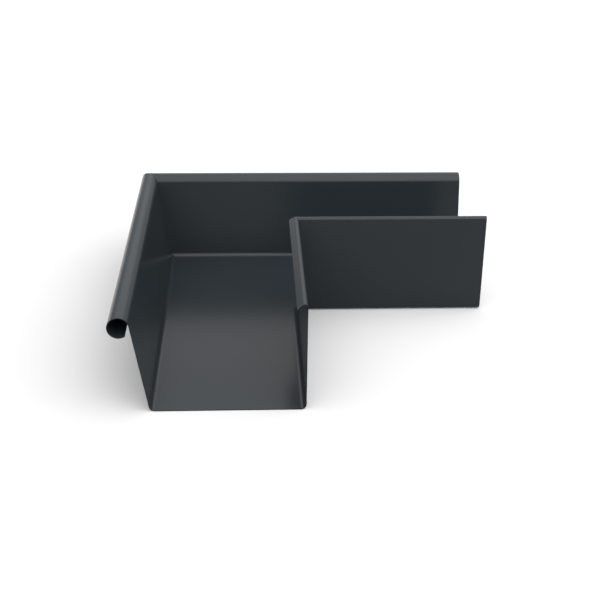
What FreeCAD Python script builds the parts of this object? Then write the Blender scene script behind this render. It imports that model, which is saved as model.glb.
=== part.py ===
import FreeCAD, Part
import math
import os
import Sketcher
from FreeCAD import Vector

# External angle for a box gutter: one folded sheet that takes the gutter round the
# outside corner of a building.
#
# Millimetres and degrees. The origin is the building's corner at the level of the
# gutter's underside, where the backs of the two legs meet. +Z is up. The right leg runs
# along +X with its back on y = 0, and the near leg runs along -Y with its back on x = 0,
# so the building fills x > 0, y < 0.
#
# Along the section, from one cut edge to the other, the sheet is: a lip that sheds water
# into the channel, the back, the floor, the front that leans outwards, and a bead rolled
# outwards on top of the front. The section is drawn with the distance from the building
# to the right and the height up.

SIZES = {
    # the sheet and its two long folds
    "sheet_gauge": 0.7,
    "fold_inside_radius": 4.0,
    # the back, against the building, and its lip
    "back_height": 90.5,
    "lip_inside_radius": 1.9,
    "lip_fall": 46.0,
    "lip_reach": 8.3,
    # the floor, to the sharp corner that it would have with the front
    "floor_width": 120.0,
    # the front and its bead
    "front_height": 80.5,
    "front_lean": 10.0,
    "bead_diameter": 17.2,
    "bead_mouth": 4.2,
    # the legs, from the building's corner to their cut ends
    "right_leg": 166.0,
    "near_leg": 166.0,
}

# places on a sketch's curves, as the sketcher numbers them
START = 1
END = 2
CENTRE = 3
SKETCH_ORIGIN = (-1, START)


def make_sizes(doc):
    """Write the driving sizes into a spreadsheet, each under its own name."""
    sizes = doc.addObject("Spreadsheet::Sheet", "sizes")
    for row, (name, value) in enumerate(SIZES.items(), start=1):
        sizes.set(f"A{row}", name)
        sizes.set(f"B{row}", str(value))
        sizes.setAlias(f"B{row}", name)
    doc.recompute()
    return sizes


def origin_plane(body, role):
    """Return the one of the body's own origin planes that has this role."""
    return next(item for item in body.Origin.OriginFeatures if item.Role == role)


def polar(centre, radius, degrees):
    """Return the point at this distance and angle from a centre."""
    angle = math.radians(degrees)
    return centre + Vector(radius * math.cos(angle), radius * math.sin(angle), 0)


def arc(centre, radius, angles):
    """Return the anticlockwise arc between two angles in degrees."""
    circle = Part.Circle(centre, Vector(0, 0, 1), radius)
    return Part.ArcOfCircle(circle, math.radians(angles[0]), math.radians(angles[1]))


def section_curves(sizes):
    """Lay out both faces of the sheet: where each flat, fold and roll of it lies.

    The dry face touches the building, the floor's underside and the street, and the wet
    face holds the water. The lip and the folds turn towards the wet side and the bead
    turns away from it, so the bead's wet face is the outer one.

    Returns the curves of the dry face and of the wet face, by name.
    """
    lean = math.radians(sizes.front_lean)
    lip_radius = sizes.lip_inside_radius + sizes.sheet_gauge
    fold_radius = sizes.fold_inside_radius + sizes.sheet_gauge
    bead_radius = sizes.bead_diameter / 2

    # the centre of each round stretch
    lip_centre = Vector(lip_radius, sizes.back_height - lip_radius, 0)
    back_centre = Vector(fold_radius, fold_radius, 0)
    setback = fold_radius * math.tan(math.radians(90 - sizes.front_lean) / 2)
    front_centre = Vector(sizes.floor_width - setback, fold_radius, 0)
    bead_level = sizes.front_height - bead_radius
    bead_offset = bead_radius - sizes.sheet_gauge + bead_level * math.sin(lean)
    bead_centre = Vector(sizes.floor_width + bead_offset / math.cos(lean), bead_level, 0)

    # the angles that each round stretch spans
    lip_span = (90 - sizes.lip_fall, 180)
    back_span = (180, 270)
    front_span = (270, 360 - sizes.front_lean)
    mouth_cosine = (sizes.bead_mouth + sizes.sheet_gauge - bead_radius) / bead_radius
    bead_end = -math.degrees(math.acos(mouth_cosine)) - sizes.front_lean
    bead_span = (bead_end, 180 - sizes.front_lean)

    crest = polar(lip_centre, lip_radius, lip_span[0])
    lip_flat = (sizes.lip_reach - crest.x) / math.cos(math.radians(sizes.lip_fall))

    faces = []
    for inset in (0, sizes.sheet_gauge):
        lip_fold = arc(lip_centre, lip_radius - inset, lip_span)
        back_fold = arc(back_centre, fold_radius - inset, back_span)
        front_fold = arc(front_centre, fold_radius - inset, front_span)
        bead = arc(bead_centre, bead_radius - sizes.sheet_gauge + inset, bead_span)
        lip_edge = polar(lip_fold.StartPoint, lip_flat, -sizes.lip_fall)
        faces.append({
            "lip": Part.LineSegment(lip_edge, lip_fold.StartPoint),
            "lip_fold": lip_fold,
            "back": Part.LineSegment(lip_fold.EndPoint, back_fold.StartPoint),
            "back_fold": back_fold,
            "floor": Part.LineSegment(back_fold.EndPoint, front_fold.StartPoint),
            "front_fold": front_fold,
            "front": Part.LineSegment(front_fold.EndPoint, bead.EndPoint),
            "bead": bead,
        })
    return faces


def relate(sketch, kind, *places):
    """Add a geometric constraint to a sketch."""
    sketch.addConstraint(Sketcher.Constraint(kind, *places))


def drive(sketch, name, expression, kind, *places):
    """Add a dimension to a sketch under a name, and tie it to the sizes."""
    index = sketch.addConstraint(Sketcher.Constraint(kind, *places))
    sketch.renameConstraint(index, name)
    sketch.setExpression("Constraints." + name, expression)


def draw_face(sketch, curves):
    """Draw one face of the sheet with each curve tangent to the next one.

    Returns each curve's number in the sketch, by name.
    """
    ids = {name: sketch.addGeometry(curve, False) for name, curve in curves.items()}
    order = list(ids)
    for name, following in zip(order, order[1:]):
        joint = END if following == "bead" else START
        relate(sketch, "Tangent", ids[name], END, ids[following], joint)
    return ids


def draw_cut_edge(sketch, dry, wet, name, curves):
    """Close the outline across the sheet where this stretch of it ends, and return the line."""
    points = [face[name].StartPoint for face in curves]
    edge = sketch.addGeometry(Part.LineSegment(*points), False)
    relate(sketch, "Coincident", edge, START, dry[name], START)
    relate(sketch, "Coincident", edge, END, wet[name], START)
    return edge


def draw_section(body, sizes):
    """Draw the sheet's outline across the right leg's cut end."""
    curves = section_curves(sizes)
    sketch = body.newObject("Sketcher::SketchObject", "sheet_section")
    sketch.AttachmentSupport = (origin_plane(body, "YZ_Plane"), [""])
    sketch.MapMode = "FlatFace"
    sketch.setExpression("AttachmentOffset.Base.z", "sizes.right_leg")
    dry = draw_face(sketch, curves[0])
    wet = draw_face(sketch, curves[1])

    # both cut edges are square across the sheet
    lip_cut = draw_cut_edge(sketch, dry, wet, "lip", curves)
    relate(sketch, "Perpendicular", lip_cut, dry["lip"])
    relate(sketch, "Parallel", dry["lip"], wet["lip"])
    bead_cut = draw_cut_edge(sketch, dry, wet, "bead", curves)
    relate(sketch, "PointOnObject", dry["bead"], CENTRE, bead_cut)

    # each round stretch has one centre, and the sheet's gauge between its two radii
    radii = {
        "lip_fold": ("lip_inside_radius + sizes.sheet_gauge", "lip_inside_radius"),
        "back_fold": ("fold_inside_radius + sizes.sheet_gauge", "fold_inside_radius"),
        "front_fold": ("fold_inside_radius + sizes.sheet_gauge", "fold_inside_radius"),
        "bead": ("bead_diameter / 2 - sizes.sheet_gauge", "bead_diameter / 2"),
    }
    for name, formulas in radii.items():
        relate(sketch, "Coincident", dry[name], CENTRE, wet[name], CENTRE)
        for face, ids, drawn, formula in zip(("dry", "wet"), (dry, wet), curves, formulas):
            radius = drawn[name].Radius
            drive(sketch, f"{face}_{name}", "sizes." + formula, "Radius", ids[name], radius)

    # the back stands on the building's face and the floor lies level
    relate(sketch, "Vertical", dry["back"])
    relate(sketch, "PointOnObject", *SKETCH_ORIGIN, dry["back"])
    relate(sketch, "Horizontal", dry["floor"])
    relate(sketch, "PointOnObject", *SKETCH_ORIGIN, dry["floor"])

    # the floor is measured to the sharp corner that it would have with the front
    corner = sketch.addGeometry(Part.Point(Vector(sizes.floor_width, 0, 0)), True)
    relate(sketch, "PointOnObject", corner, START, dry["floor"])
    relate(sketch, "PointOnObject", corner, START, dry["front"])
    drive(
        sketch, "floor_width", "sizes.floor_width",
        "DistanceX", *SKETCH_ORIGIN, corner, START, sizes.floor_width,
    )

    drive(
        sketch, "back_height", "sizes.back_height - sizes.lip_inside_radius - sizes.sheet_gauge",
        "DistanceY", *SKETCH_ORIGIN, dry["lip_fold"], CENTRE, curves[0]["lip_fold"].Center.y,
    )
    drive(
        sketch, "lip_fall", "180 - sizes.lip_fall",
        "Angle", dry["lip"], math.radians(180 - sizes.lip_fall),
    )
    drive(
        sketch, "lip_reach", "sizes.lip_reach",
        "DistanceX", *SKETCH_ORIGIN, dry["lip"], START, sizes.lip_reach,
    )
    drive(
        sketch, "front_lean", "90 - sizes.front_lean",
        "Angle", dry["front"], math.radians(90 - sizes.front_lean),
    )
    drive(
        sketch, "front_height", "sizes.front_height - sizes.bead_diameter / 2",
        "DistanceY", *SKETCH_ORIGIN, dry["bead"], CENTRE, curves[0]["bead"].Center.y,
    )
    drive(
        sketch, "bead_mouth", "sizes.bead_mouth",
        "Distance", wet["bead"], START, dry["front"], sizes.bead_mouth,
    )
    return sketch


def draw_route(body, sizes):
    """Draw the two walls of the building at floor level, which the legs follow."""
    sketch = body.newObject("Sketcher::SketchObject", "building_walls")
    sketch.AttachmentSupport = (origin_plane(body, "XY_Plane"), [""])
    sketch.MapMode = "FlatFace"
    corner = Vector(0, 0, 0)
    right = sketch.addGeometry(Part.LineSegment(Vector(sizes.right_leg, 0, 0), corner), False)
    near = sketch.addGeometry(Part.LineSegment(corner, Vector(0, -sizes.near_leg, 0)), False)
    relate(sketch, "Coincident", right, END, *SKETCH_ORIGIN)
    relate(sketch, "Coincident", near, START, *SKETCH_ORIGIN)
    relate(sketch, "Horizontal", right)
    relate(sketch, "Vertical", near)
    drive(sketch, "right_leg", "sizes.right_leg", "Distance", right, sizes.right_leg)
    drive(sketch, "near_leg", "sizes.near_leg", "Distance", near, sizes.near_leg)
    return sketch


def make_gutter_angle(doc, sizes):
    """Carry the section along both walls, with a mitre where they meet."""
    body = doc.addObject("PartDesign::Body", "gutter_angle")
    section = draw_section(body, sizes)
    route = draw_route(body, sizes)
    doc.recompute()
    sheet = body.newObject("PartDesign::AdditivePipe", "folded_sheet")
    sheet.Profile = section
    sheet.Spine = (route, ["Edge1", "Edge2"])
    sheet.Mode = "Standard"
    sheet.Transition = "Right corner"
    body.Tip = sheet
    doc.recompute()
    return body


def check(doc, bodies):
    """Stop with a plain message where an object failed or a piece isn't one sound solid."""
    for item in doc.Objects:
        if "Invalid" in item.State or "Error" in item.State:
            raise RuntimeError(f"{item.Name} failed: {item.State}")
    for body in bodies:
        shape = body.Shape
        if shape.isNull() or not shape.isValid() or len(shape.Solids) != 1:
            raise RuntimeError(f"{body.Label} isn't one sound solid")


def main():
    """Build the document, check it and write each piece to its own file."""
    doc = FreeCAD.newDocument("gutter_external_angle")
    sizes = make_sizes(doc)
    bodies = [make_gutter_angle(doc, sizes)]
    check(doc, bodies)
    os.makedirs("parts", exist_ok=True)
    for body in bodies:
        body.Shape.exportStep(os.path.join("parts", body.Label + ".step"))
        print(f"{body.Label}: {body.Shape.Volume:.0f} cubic mm")


main()
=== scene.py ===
"""Looks of a gutter external angle: one coated sheet folded round a building's corner.

The sheet is folded here the way a bender folds it, from a flat strip, an edge at a time,
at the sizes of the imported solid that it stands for. Everything is in metres, in the
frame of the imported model: +Z up, the right leg along +X, the near leg along -Y.
"""

import logging
import math
from dataclasses import dataclass, field
from enum import Enum
from typing import Any, Callable, Union

import bpy
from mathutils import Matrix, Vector


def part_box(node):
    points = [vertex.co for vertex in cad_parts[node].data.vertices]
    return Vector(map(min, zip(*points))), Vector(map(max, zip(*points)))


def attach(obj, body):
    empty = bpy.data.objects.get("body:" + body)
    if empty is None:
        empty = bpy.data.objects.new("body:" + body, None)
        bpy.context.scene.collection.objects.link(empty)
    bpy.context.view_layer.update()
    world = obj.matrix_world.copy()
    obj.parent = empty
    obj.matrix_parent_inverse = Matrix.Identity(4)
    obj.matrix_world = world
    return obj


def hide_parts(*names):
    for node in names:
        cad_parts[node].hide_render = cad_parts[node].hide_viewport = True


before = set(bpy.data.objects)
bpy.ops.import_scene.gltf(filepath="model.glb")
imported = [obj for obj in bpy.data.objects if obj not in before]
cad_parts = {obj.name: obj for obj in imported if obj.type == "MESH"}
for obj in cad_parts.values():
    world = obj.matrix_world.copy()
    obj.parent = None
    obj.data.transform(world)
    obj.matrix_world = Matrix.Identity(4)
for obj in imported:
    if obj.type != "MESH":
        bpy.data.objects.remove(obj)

LOG = logging.getLogger("gutter_angle")
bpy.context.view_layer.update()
NODE = "gutter_angle"
BODY = "root"
MERGE = 1e-6  # points nearer than this, in metres, are one
WELD = 5 * MERGE  # the same for points that meet at the mitre
ALONG_Y = 0.9  # least Y part of the normal of a face that counts as facing along Y
NOISE_MEAN = 0.5  # about the mean of a Noise node's value
EDGE_FINISH = 1  # the cut edge's place among the sheet's finishes, after the coat
MIX_FACTOR, MIX_FIRST, MIX_SECOND = 0, 6, 7  # a Mix node's inputs, when it mixes colours
MIX_RESULT = 2  # and its output
Number = Union[int, float]


class Leg(Enum):
    """The two legs of the angle, each with the name of its strip."""

    RIGHT = "right_leg"
    NEAR = "near_leg"


class Side(Enum):
    """Which way a fold turns: left lifts a sheet that grows outwards, and right drops it."""

    LEFT = 1
    RIGHT = -1


class Shade:
    """A number in a shader that adds a Math node for each operator used on it."""

    def __init__(self, bench: "Bench", socket: bpy.types.NodeSocket | None) -> None:
        """Wrap a socket of the material or sky on this bench, or none, for an output node."""
        self.bench = bench
        self.socket = socket

    def _math(self, operation: str, first: Any, second: Any) -> "Shade":
        """Add a Math node for two values and wrap its result."""
        return self.bench.add("ShaderNodeMath", {"operation": operation}, {0: first, 1: second})

    def __add__(self, other: "Shade | Number") -> "Shade":
        """Add another value."""
        return self._math("ADD", self, other)

    def __radd__(self, other: Number) -> "Shade":
        """Add to a plain number."""
        return self._math("ADD", other, self)

    def __sub__(self, other: "Shade | Number") -> "Shade":
        """Take another value away."""
        return self._math("SUBTRACT", self, other)

    def __rsub__(self, other: Number) -> "Shade":
        """Take this value away from a plain number."""
        return self._math("SUBTRACT", other, self)

    def __mul__(self, other: "Shade | Number") -> "Shade":
        """Multiply by another value."""
        return self._math("MULTIPLY", self, other)

    def __rmul__(self, other: Number) -> "Shade":
        """Multiply a plain number."""
        return self._math("MULTIPLY", other, self)


class Bench:
    """A new material or sky and the one way of adding nodes to it."""

    def __init__(self, owner: Union[bpy.types.Material, bpy.types.World]) -> None:
        """Clear the nodes of the material or sky that is made here."""
        self.owner = owner
        owner.use_nodes = True
        self.tree = owner.node_tree
        self.tree.nodes.clear()

    def add(
        self,
        kind: str,
        settings: dict[str, Any] | None = None,
        inputs: dict[int | str, Any] | None = None,
        output: int | str = 0,
    ) -> Shade:
        """Add a node, set it up and link it.

        Args:
            kind: the node's type.
            settings: its properties, set before its sockets are filled.
            inputs: values or links for its sockets.
            output: the output socket that is wrapped.

        Returns:
            The chosen output, ready for use in an expression or as another node's input.
        """
        node = self.tree.nodes.new(kind)
        for name, value in (settings or {}).items():
            setattr(node, name, value)
        for name, value in (inputs or {}).items():
            socket = node.inputs[name]
            if isinstance(value, Shade):
                self.tree.links.new(value.socket, socket)
            else:
                socket.default_value = value
        return Shade(self, node.outputs[output] if len(node.outputs) else None)

    def noise(self, place: Shade, size: float, detail: float) -> Shade:
        """Add noise whose blotches are about this many metres across."""
        inputs = {"Vector": place, "Scale": 1.0 / size, "Detail": detail}
        return self.add("ShaderNodeTexNoise", {"noise_dimensions": "3D"}, inputs)

    def mix(self, factor: Shade, first: tuple, second: tuple) -> Shade:
        """Blend two colours by a factor."""
        settings = {"data_type": "RGBA", "clamp_factor": True}
        inputs = {MIX_FACTOR: factor, MIX_FIRST: first, MIX_SECOND: second}
        return self.add("ShaderNodeMix", settings, inputs, output=MIX_RESULT)

    def ease(self, value: Shade, start: float, end: float) -> Shade:
        """Turn a value into a smooth rise from 0 at the start to 1 at the end."""
        inputs = {"Value": value, "From Min": start, "From Max": end, "To Min": 0.0, "To Max": 1.0}
        return self.add("ShaderNodeMapRange", {"interpolation_type": "SMOOTHSTEP"}, inputs)


@dataclass(frozen=True)
class AnthraciteCoat:
    """Satin anthracite coil coat: near-black blue-grey under a soft sheen.

    Attributes:
        deep: the coat's darker tone, linear.
        pale: the coat's lighter tone, linear.
        gloss: the mean roughness.
        gloss_swing: how far the roughness strays from it.
        index: the refractive index, low for a matted coat.
        tone_low: mixed noise at which the tone is all deep.
        tone_high: mixed noise at which the tone is all pale.
        cloud: width of the slow change of tone, in metres.
        cloud_share: the cloud's part in the mixed noise, the rest being grain.
        grain: width of the finest speckle, in metres.
        peel: width of the coat's faint orange peel, in metres.
        peel_depth: height of the orange peel, in metres.
    """

    deep: tuple = (0.0093, 0.0118, 0.0139, 1.0)
    pale: tuple = (0.0109, 0.0138, 0.0162, 1.0)
    gloss: float = 0.223
    gloss_swing: float = 0.03
    index: float = 1.263
    tone_low: float = 0.3
    tone_high: float = 0.7
    cloud: float = 0.090
    cloud_share: float = 0.7
    grain: float = 0.0006
    peel: float = 0.0012
    peel_depth: float = 0.000004

    def make(self) -> bpy.types.Material:
        """Build the material and return it."""
        bench = Bench(bpy.data.materials.new("anthracite_coat"))
        place = bench.add("ShaderNodeTexCoord", output="Object")
        cloud = bench.noise(place, self.cloud, detail=3.0)
        grain = bench.noise(place, self.grain, detail=1.0)
        mixed = cloud * self.cloud_share + grain * (1.0 - self.cloud_share)
        tone = (mixed - self.tone_low) * (1.0 / (self.tone_high - self.tone_low))
        stray = (cloud - NOISE_MEAN) * self.gloss_swing + (grain - NOISE_MEAN) * self.gloss_swing
        rough = stray + self.gloss
        peel = bench.noise(place, self.peel, detail=2.0)
        bump = bench.add("ShaderNodeBump", None, {"Height": peel, "Distance": self.peel_depth})
        coat = bench.add(
            "ShaderNodeBsdfPrincipled", None,
            {
                "Base Color": bench.mix(tone, self.deep, self.pale),
                "Roughness": rough,
                "IOR": self.index,
                "Normal": bump,
            },
        )
        bench.add("ShaderNodeOutputMaterial", None, {"Surface": coat})
        return bench.owner


@dataclass(frozen=True)
class CutEdge:
    """The sheet's sheared edge: dull dark metal with fine specks left by the blade.

    Attributes:
        dark: the metal's darker tone, linear.
        light: the metal's lighter tone, linear.
        gloss: the mean roughness.
        gloss_swing: how far the roughness strays from it.
        index: the refractive index, low for a dull edge.
        speck: width of the specks, in metres.
    """

    dark: tuple = (0.0030, 0.0032, 0.0036, 1.0)
    light: tuple = (0.0110, 0.0118, 0.0126, 1.0)
    gloss: float = 0.65
    gloss_swing: float = 0.2
    index: float = 1.2
    speck: float = 0.0006

    def make(self) -> bpy.types.Material:
        """Build the material and return it."""
        bench = Bench(bpy.data.materials.new("cut_edge"))
        place = bench.add("ShaderNodeTexCoord", output="Object")
        speck = bench.noise(place, self.speck, detail=2.0)
        edge = bench.add(
            "ShaderNodeBsdfPrincipled", None,
            {
                "Base Color": bench.mix(speck, self.dark, self.light),
                "Roughness": (speck - NOISE_MEAN) * self.gloss_swing + self.gloss,
                "IOR": self.index,
            },
        )
        bench.add("ShaderNodeOutputMaterial", None, {"Surface": edge})
        return bench.owner


@dataclass(frozen=True)
class PaleFloor:
    """The studio's matt floor, a grey that shows white under the bright sky.

    Attributes:
        shade: the floor's darker tone, linear.
        tone: the floor's lighter tone, linear.
        gloss: the roughness.
        sheen: strength of the mirrored light, none on this floor.
        cloud: width of the slow change of tone, in metres.
    """

    shade: tuple = (0.355, 0.355, 0.355, 1.0)
    tone: tuple = (0.365, 0.365, 0.365, 1.0)
    gloss: float = 1.0
    sheen: float = 0.0
    cloud: float = 0.4

    def make(self) -> bpy.types.Material:
        """Build the material and return it."""
        bench = Bench(bpy.data.materials.new("pale_floor"))
        place = bench.add("ShaderNodeTexCoord", output="Object")
        cloud = bench.noise(place, self.cloud, detail=2.0)
        matt = bench.add(
            "ShaderNodeBsdfPrincipled", None,
            {
                "Base Color": bench.mix(cloud, self.shade, self.tone),
                "Roughness": self.gloss,
                "Specular IOR Level": self.sheen,
            },
        )
        bench.add("ShaderNodeOutputMaterial", None, {"Surface": matt})
        return bench.owner


@dataclass(frozen=True)
class SheetSection:
    """The section that both legs share, measured on the sheet's dry face.

    The dry face looks at the building, the brackets and the street, and the wet face
    holds the water.

    Attributes:
        back_height: height of the back to the top of its lip fold.
        gauge: thickness of the sheet.
        fold_inside: inside radius of the floor's two folds.
        lip_inside: inside radius of the lip's fold.
        lip_fall: slope of the lip below level, in degrees.
        lip_reach: distance of the lip's free edge from the building.
        floor_width: floor to the sharp corner that it would have with the front.
        front_height: height of the front to the top of its bead.
        front_lean: lean of the front from upright, in degrees.
        bead_diameter: outside diameter of the bead.
        bead_mouth: gap from the bead's free edge to the front.
    """

    back_height: float
    gauge: float = 0.0007
    fold_inside: float = 0.0040
    lip_inside: float = 0.0019
    lip_fall: float = 46.0
    lip_reach: float = 0.0083
    floor_width: float = 0.1200
    front_height: float = 0.0805
    front_lean: float = 10.0
    bead_diameter: float = 0.0172
    bead_mouth: float = 0.0042

    @property
    def fold_radius(self) -> float:
        """Radius of the floor's folds on the dry face."""
        return self.fold_inside + self.gauge

    @property
    def lip_radius(self) -> float:
        """Radius of the lip's fold on the dry face."""
        return self.lip_inside + self.gauge

    @property
    def bead_radius(self) -> float:
        """Radius of the bead on the dry face, which is inside the roll."""
        return self.bead_diameter / 2 - self.gauge

    @property
    def lip_flat(self) -> float:
        """Flat stretch of the lip, from its fold to its free edge."""
        fall = math.radians(self.lip_fall)
        crest = self.lip_radius * (1 + math.sin(fall))
        return (self.lip_reach - crest) / math.cos(fall)

    @property
    def front_setback(self) -> float:
        """Distance from the floor and front's sharp corner to where their fold begins."""
        return self.fold_radius * math.tan(math.radians(90 - self.front_lean) / 2)

    @property
    def floor_flat(self) -> float:
        """Flat stretch of the floor between its folds."""
        return self.floor_width - self.fold_radius - self.front_setback

    @property
    def bead_level(self) -> float:
        """Height of the bead's centre."""
        return self.front_height - self.bead_diameter / 2

    @property
    def front_flat(self) -> float:
        """Flat stretch of the front, from the floor's fold to the bead."""
        lean = math.radians(self.front_lean)
        slope = (self.bead_radius + self.bead_level * math.sin(lean)) * math.tan(lean)
        return slope + self.bead_level * math.cos(lean) - self.front_setback

    @property
    def bead_turn(self) -> float:
        """Angle that the bead is rolled through, in degrees."""
        outer = self.bead_diameter / 2
        return 180 + math.degrees(math.acos((self.bead_mouth - self.bead_radius) / outer))

    @property
    def width(self) -> float:
        """Distance from the building to the far side of the bead."""
        lean = math.radians(self.front_lean)
        offset = (self.bead_radius + self.bead_level * math.sin(lean)) / math.cos(lean)
        return self.floor_width + offset + self.bead_diameter / 2


class Workshop:
    """Plain helpers for editing one mesh with Blender's own operators."""

    @staticmethod
    def deselect() -> None:
        """Go to object mode, with nothing selected."""
        if bpy.context.object and bpy.context.object.mode != "OBJECT":
            bpy.ops.object.mode_set(mode="OBJECT")
        bpy.ops.object.select_all(action="DESELECT")

    @staticmethod
    def take(piece: bpy.types.Object) -> None:
        """Make a piece the only selected one."""
        Workshop.deselect()
        piece.select_set(True)
        bpy.context.view_layer.objects.active = piece

    @staticmethod
    def pick_edges(piece: bpy.types.Object, wanted: Callable[[Vector, Vector], bool]) -> None:
        """Select the edges whose two ends pass a test, in edit mode with nothing else selected.

        Args:
            piece: the mesh to work on, taken into edit mode here.
            wanted: a test on the places of an edge's two ends.
        """
        bpy.ops.object.mode_set(mode="EDIT")
        bpy.ops.mesh.select_mode(type="EDGE")
        bpy.ops.mesh.select_all(action="DESELECT")
        bpy.ops.object.mode_set(mode="OBJECT")
        points = piece.data.vertices
        for edge in piece.data.edges:
            first, second = (points[index].co for index in edge.vertices)
            edge.select = wanted(first, second)
        bpy.ops.object.mode_set(mode="EDIT")

    @staticmethod
    def apply(piece: bpy.types.Object, kind: str, **settings: Any) -> None:
        """Add a modifier to a piece, set it up and apply it."""
        Workshop.take(piece)
        modifier = piece.modifiers.new(kind.lower(), kind)
        for name, value in settings.items():
            setattr(modifier, name, value)
        bpy.ops.object.modifier_apply(modifier=modifier.name)


@dataclass
class Bender:
    """The folding machine: it draws the selected edge of a strip out, flat or in an arc.

    Attributes:
        reach: distance of the edge from the building.
        level: height of the edge.
        heading: direction in which the sheet grows, in degrees above the way outwards.
        degrees_a_step: about how much each small facet of a fold turns.
        fewest_steps: least number of facets in a fold.
    """

    reach: float
    level: float
    heading: float
    degrees_a_step: float = 3.0
    fewest_steps: int = 3

    def flat(self, length: float) -> None:
        """Draw the edge out straight."""
        angle = math.radians(self.heading)
        move = (0.0, length * math.cos(angle), length * math.sin(angle))
        bpy.ops.mesh.extrude_region_move(TRANSFORM_OT_translate={"value": move})
        self.reach += move[1]
        self.level += move[2]

    def fold(self, radius: float, degrees: float, side: Side) -> None:
        """Draw the edge round an arc.

        Args:
            radius: radius of the arc on the face that is drawn.
            degrees: how far the sheet turns.
            side: the side that it turns towards.
        """
        towards = math.radians(self.heading + 90 * side.value)
        centre = (
            self.reach + radius * math.cos(towards),
            self.level + radius * math.sin(towards),
        )
        steps = max(self.fewest_steps, round(degrees / self.degrees_a_step))
        turn = -math.radians(degrees) * side.value
        bpy.ops.mesh.spin(
            steps=steps, angle=turn, center=(0.0, *centre), axis=(1.0, 0.0, 0.0),
        )
        self.heading += degrees * side.value
        away = math.radians(self.heading - 90 * side.value)
        self.reach = centre[0] + radius * math.cos(away)
        self.level = centre[1] + radius * math.sin(away)


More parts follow.
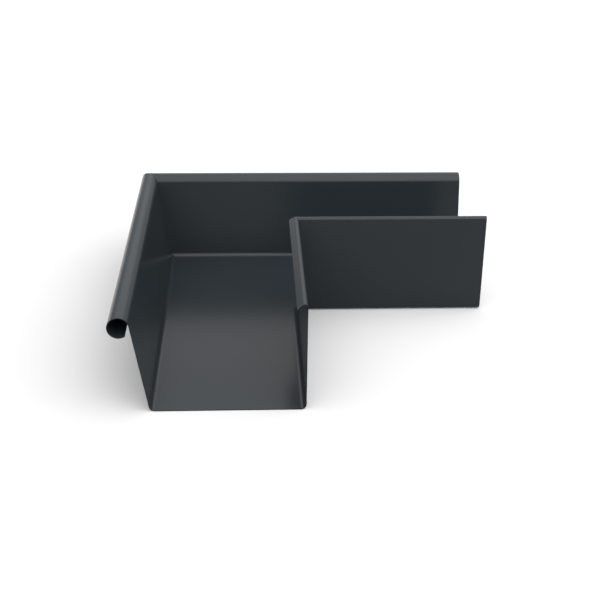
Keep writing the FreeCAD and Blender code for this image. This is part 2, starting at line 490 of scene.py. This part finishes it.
@dataclass
class FoldedSheet:
    """The whole angle: two folded legs that meet in a mitre at the building's corner.

    Attributes:
        section: the section of both legs.
        leg_length: each leg's length from the building's corner.
        coat: the finish of both faces.
        cut_edge: the finish of the sheared edges.
        spare: how far a strip runs past its mitre before it is cut.
        mitre_rounding: width of the rounding along the mitre's creases.
        edge_rounding: width of the rounding along the sheared edges.
        rounding_facets: number of facets across each rounding.
        smooth_angle: creases sharper than this stay crisp, in degrees.
    """

    section: SheetSection
    leg_length: dict[Leg, float]
    coat: AnthraciteCoat = field(default_factory=AnthraciteCoat)
    cut_edge: CutEdge = field(default_factory=CutEdge)
    spare: float = 0.010
    mitre_rounding: float = 0.00030
    edge_rounding: float = 0.00008
    rounding_facets: int = 3
    smooth_angle: float = 40.0

    def fold_leg(self, leg: Leg) -> bpy.types.Object:
        """Fold one leg out of a flat strip, as if it ran along the building's right side.

        Args:
            leg: the leg to make.

        Returns:
            The leg's dry face, with no thickness yet.
        """
        section = self.section
        length = self.leg_length[leg]
        start = -(section.width + self.spare)
        bottom = section.fold_radius
        top = section.back_height - section.lip_radius
        Workshop.deselect()
        bpy.ops.mesh.primitive_plane_add(
            size=1.0,
            location=((start + length) / 2, 0.0, (bottom + top) / 2),
            rotation=(math.pi / 2, 0.0, 0.0),
        )
        strip = bpy.context.object
        strip.name = leg.value
        strip.scale = (length - start, top - bottom, 1.0)
        bpy.ops.object.transform_apply(location=True, rotation=True, scale=True)

        Workshop.pick_edges(strip, lambda a, b: max(a.z, b.z) < bottom + MERGE)
        front = Bender(reach=0.0, level=bottom, heading=-90.0)
        front.fold(section.fold_radius, 90.0, Side.LEFT)
        front.flat(section.floor_flat)
        front.fold(section.fold_radius, 90.0 - section.front_lean, Side.LEFT)
        front.flat(section.front_flat)
        front.fold(section.bead_radius, section.bead_turn, Side.RIGHT)

        def tops_the_back(first: Vector, second: Vector) -> bool:
            """Say whether an edge is the top edge of the flat back."""
            on_back = max(abs(first.y), abs(second.y)) < MERGE
            return on_back and abs(first.z - top) < MERGE and abs(second.z - top) < MERGE

        Workshop.pick_edges(strip, tops_the_back)
        lip = Bender(reach=0.0, level=top, heading=90.0)
        lip.fold(section.lip_radius, 90.0 + section.lip_fall, Side.RIGHT)
        lip.flat(section.lip_flat)
        return strip

    def thicken(self, strip: bpy.types.Object, finishes: list[bpy.types.Material]) -> None:
        """Give a folded strip its gauge, on the wet side of the face that was folded.

        Args:
            strip: the leg's dry face.
            finishes: the coat and the cut edge's finish, which both legs share.
        """
        Workshop.take(strip)
        bpy.ops.object.mode_set(mode="EDIT")
        bpy.ops.mesh.select_all(action="SELECT")
        bpy.ops.mesh.remove_doubles(threshold=MERGE)
        bpy.ops.mesh.normals_make_consistent(inside=False)
        bpy.ops.object.mode_set(mode="OBJECT")
        upright = [face for face in strip.data.polygons if abs(face.normal.y) > ALONG_Y]
        back = max(upright, key=lambda face: face.area)
        if back.normal.y > 0:
            bpy.ops.object.mode_set(mode="EDIT")
            bpy.ops.mesh.flip_normals()
            bpy.ops.object.mode_set(mode="OBJECT")
        for finish in finishes:
            strip.data.materials.append(finish)
        Workshop.apply(
            strip, "SOLIDIFY",
            thickness=self.section.gauge, offset=-1.0, use_even_offset=True,
            material_offset_rim=EDGE_FINISH,
        )

    def cut_mitre(self, strip: bpy.types.Object) -> None:
        """Cut a strip along the upright plane that halves the building's corner."""
        Workshop.take(strip)
        bpy.ops.object.mode_set(mode="EDIT")
        bpy.ops.mesh.select_all(action="SELECT")
        bpy.ops.mesh.bisect(
            plane_co=(0.0, 0.0, 0.0), plane_no=(1.0, 1.0, 0.0),
            clear_inner=True, clear_outer=False, use_fill=False, threshold=MERGE,
        )
        bpy.ops.object.mode_set(mode="OBJECT")

    def turn_over(self, strip: bpy.types.Object) -> None:
        """Mirror and turn a mitred strip, so that it becomes the near leg."""
        Workshop.take(strip)
        bpy.ops.object.mode_set(mode="EDIT")
        bpy.ops.mesh.select_all(action="SELECT")
        bpy.ops.transform.mirror(
            orient_type="GLOBAL", constraint_axis=(True, False, False),
            center_override=(0.0, 0.0, 0.0),
        )
        bpy.ops.transform.rotate(
            value=-math.pi / 2, orient_axis="Z", orient_type="GLOBAL",
            center_override=(0.0, 0.0, 0.0),
        )
        bpy.ops.object.mode_set(mode="OBJECT")

    def join(self, right: bpy.types.Object, near: bpy.types.Object) -> bpy.types.Object:
        """Make one closed sheet of the two legs.

        Args:
            right: the right leg, which stays.
            near: the near leg, which is taken up.

        Returns:
            The joined piece.
        """
        Workshop.take(right)
        near.select_set(True)
        bpy.ops.object.join()
        bpy.ops.object.mode_set(mode="EDIT")
        bpy.ops.mesh.select_all(action="SELECT")
        bpy.ops.mesh.remove_doubles(threshold=WELD)
        bpy.ops.mesh.normals_make_consistent(inside=False)
        bpy.ops.object.mode_set(mode="OBJECT")
        return right

    def round_edges(self, piece: bpy.types.Object) -> None:
        """Take the sharpness off the mitre's creases and the sheared edges."""
        Workshop.pick_edges(
            piece, lambda a, b: abs(a.x + a.y) < WELD and abs(b.x + b.y) < WELD,
        )
        bpy.ops.transform.edge_bevelweight(value=1.0)
        bpy.ops.mesh.select_mode(type="FACE")
        bpy.ops.mesh.select_all(action="DESELECT")
        piece.active_material_index = EDGE_FINISH
        bpy.ops.object.material_slot_select()
        bpy.ops.mesh.region_to_loop()
        bpy.ops.transform.edge_bevelweight(value=self.edge_rounding / self.mitre_rounding)
        bpy.ops.object.mode_set(mode="OBJECT")
        Workshop.apply(
            piece, "BEVEL",
            width=self.mitre_rounding, segments=self.rounding_facets, limit_method="WEIGHT",
            offset_type="OFFSET", miter_outer="MITER_SHARP",
        )

    def build(self) -> bpy.types.Object:
        """Fold, mitre, join and dress the whole angle.

        Returns:
            The finished piece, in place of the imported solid.
        """
        finishes = [self.coat.make(), self.cut_edge.make()]
        strips = {}
        for leg in Leg:
            strips[leg] = self.fold_leg(leg)
            self.thicken(strips[leg], finishes)
            self.cut_mitre(strips[leg])
        self.turn_over(strips[Leg.NEAR])
        piece = self.join(strips[Leg.RIGHT], strips[Leg.NEAR])
        piece.name = "folded_sheet"
        self.round_edges(piece)
        Workshop.take(piece)
        bpy.ops.object.shade_smooth_by_angle(angle=math.radians(self.smooth_angle))
        Workshop.apply(piece, "WEIGHTED_NORMAL", mode="FACE_AREA", keep_sharp=True)
        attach(piece, BODY)
        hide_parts(NODE)
        return piece


@dataclass(frozen=True)
class StudioSky:
    """A soft white dome: bright overhead and in front, dimmer behind the piece and low down.

    The right side is the brighter one. Heights and distances are those on a dome of
    radius 1, so 0.5 high is 30 degrees up.

    Attributes:
        key: brightness overhead and in front.
        back: brightness behind the piece.
        low: brightness of the band along the horizon.
        low_top: height at which that band ends.
        low_blur: how far each side of that height the change spreads.
        fade_start: how far behind the middle the full brightness reaches.
        fade_end: how far behind the middle it has faded to the back's.
        side_gain: share that the far right gains in brightness and the far left loses.
        tone: the light's colour.
    """

    key: float = 4.40
    back: float = 1.44
    low: float = 0.53
    low_top: float = 0.344
    low_blur: float = 0.02
    fade_start: float = -0.40
    fade_end: float = 0.92
    side_gain: float = 0.30
    tone: tuple = (1.0, 1.0, 1.0, 1.0)

    def make(self) -> bpy.types.World:
        """Build the sky and return it."""
        bench = Bench(bpy.data.worlds.new("studio_sky"))
        way = bench.add("ShaderNodeTexCoord", output="Generated")
        right, behind, height = (
            bench.add("ShaderNodeSeparateXYZ", None, {"Vector": way}, output=axis)
            for axis in "XYZ"
        )
        faded = bench.ease(behind, self.fade_start, self.fade_end)
        risen = bench.ease(height, self.low_top - self.low_blur, self.low_top + self.low_blur)
        upper = faded * (self.back - self.key) + self.key
        glow = ((upper - self.low) * risen + self.low) * (right * self.side_gain + 1.0)
        background = bench.add(
            "ShaderNodeBackground", None, {"Color": self.tone, "Strength": glow},
        )
        bench.add("ShaderNodeOutputWorld", None, {"Surface": background})
        return bench.owner


@dataclass(frozen=True)
class Studio:
    """A plain pale floor under a soft white sky.

    Attributes:
        floor_size: width of the square floor.
        floor_level: height of the floor, a hair below the sheet, so that their faces don't mix.
        sky: the light.
        finish: the floor's finish.
    """

    floor_size: float = 40.0
    floor_level: float = -0.0001
    sky: StudioSky = field(default_factory=StudioSky)
    finish: PaleFloor = field(default_factory=PaleFloor)

    def lay_floor(self) -> bpy.types.Object:
        """Lay the floor that the sheet rests on."""
        Workshop.deselect()
        bpy.ops.mesh.primitive_plane_add(
            size=self.floor_size, location=(0.0, 0.0, self.floor_level),
        )
        floor = bpy.context.object
        floor.name = "studio_floor"
        floor.data.materials.append(self.finish.make())
        return floor

    def light(self) -> None:
        """Put up the sky, and show its light as it is."""
        bpy.context.scene.world = self.sky.make()
        bpy.context.scene.view_settings.view_transform = "Standard"
        bpy.context.scene.view_settings.look = "None"


@dataclass(frozen=True)
class PhotoCamera:
    """The camera, at the photograph's viewing angle.

    Attributes:
        eye: where it stands.
        turn: its X, Y and Z turns, in degrees.
        lens: focal length in millimetres.
        sensor: sensor width in millimetres.
        rise: how far the frame is moved up, or down if below zero, in sensor widths.
        near_clip: nearest distance that it shows.
    """

    eye: tuple = (-0.04343, -0.89637, 0.46205)
    turn: tuple = (66.3828, -0.7386, -2.5364)
    lens: float = 66.71
    sensor: float = 36.0
    rise: float = -0.100
    near_clip: float = 0.01

    def stand(self) -> bpy.types.Object:
        """Put the camera up and make it the scene's own."""
        Workshop.deselect()
        bpy.ops.object.camera_add(
            location=self.eye, rotation=[math.radians(angle) for angle in self.turn],
        )
        camera = bpy.context.object
        camera.name = "photo_camera"
        camera.data.lens = self.lens
        camera.data.sensor_width = self.sensor
        camera.data.sensor_fit = "HORIZONTAL"
        camera.data.shift_y = self.rise
        camera.data.clip_start = self.near_clip
        bpy.context.scene.camera = camera
        return camera


def main() -> None:
    """Build the angle, the studio and the camera, in that order."""
    logging.basicConfig(level=logging.INFO, format="%(message)s")
    low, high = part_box(NODE)
    section = SheetSection(back_height=high.z)
    sheet = FoldedSheet(section, {Leg.RIGHT: high.x, Leg.NEAR: -low.y}).build()
    LOG.info("%s: %d faces", sheet.name, len(sheet.data.polygons))
    studio = Studio()
    LOG.info("%s is laid", studio.lay_floor().name)
    studio.light()
    LOG.info("%s stands", PhotoCamera().stand().name)


if __name__ == "__main__":
    main()
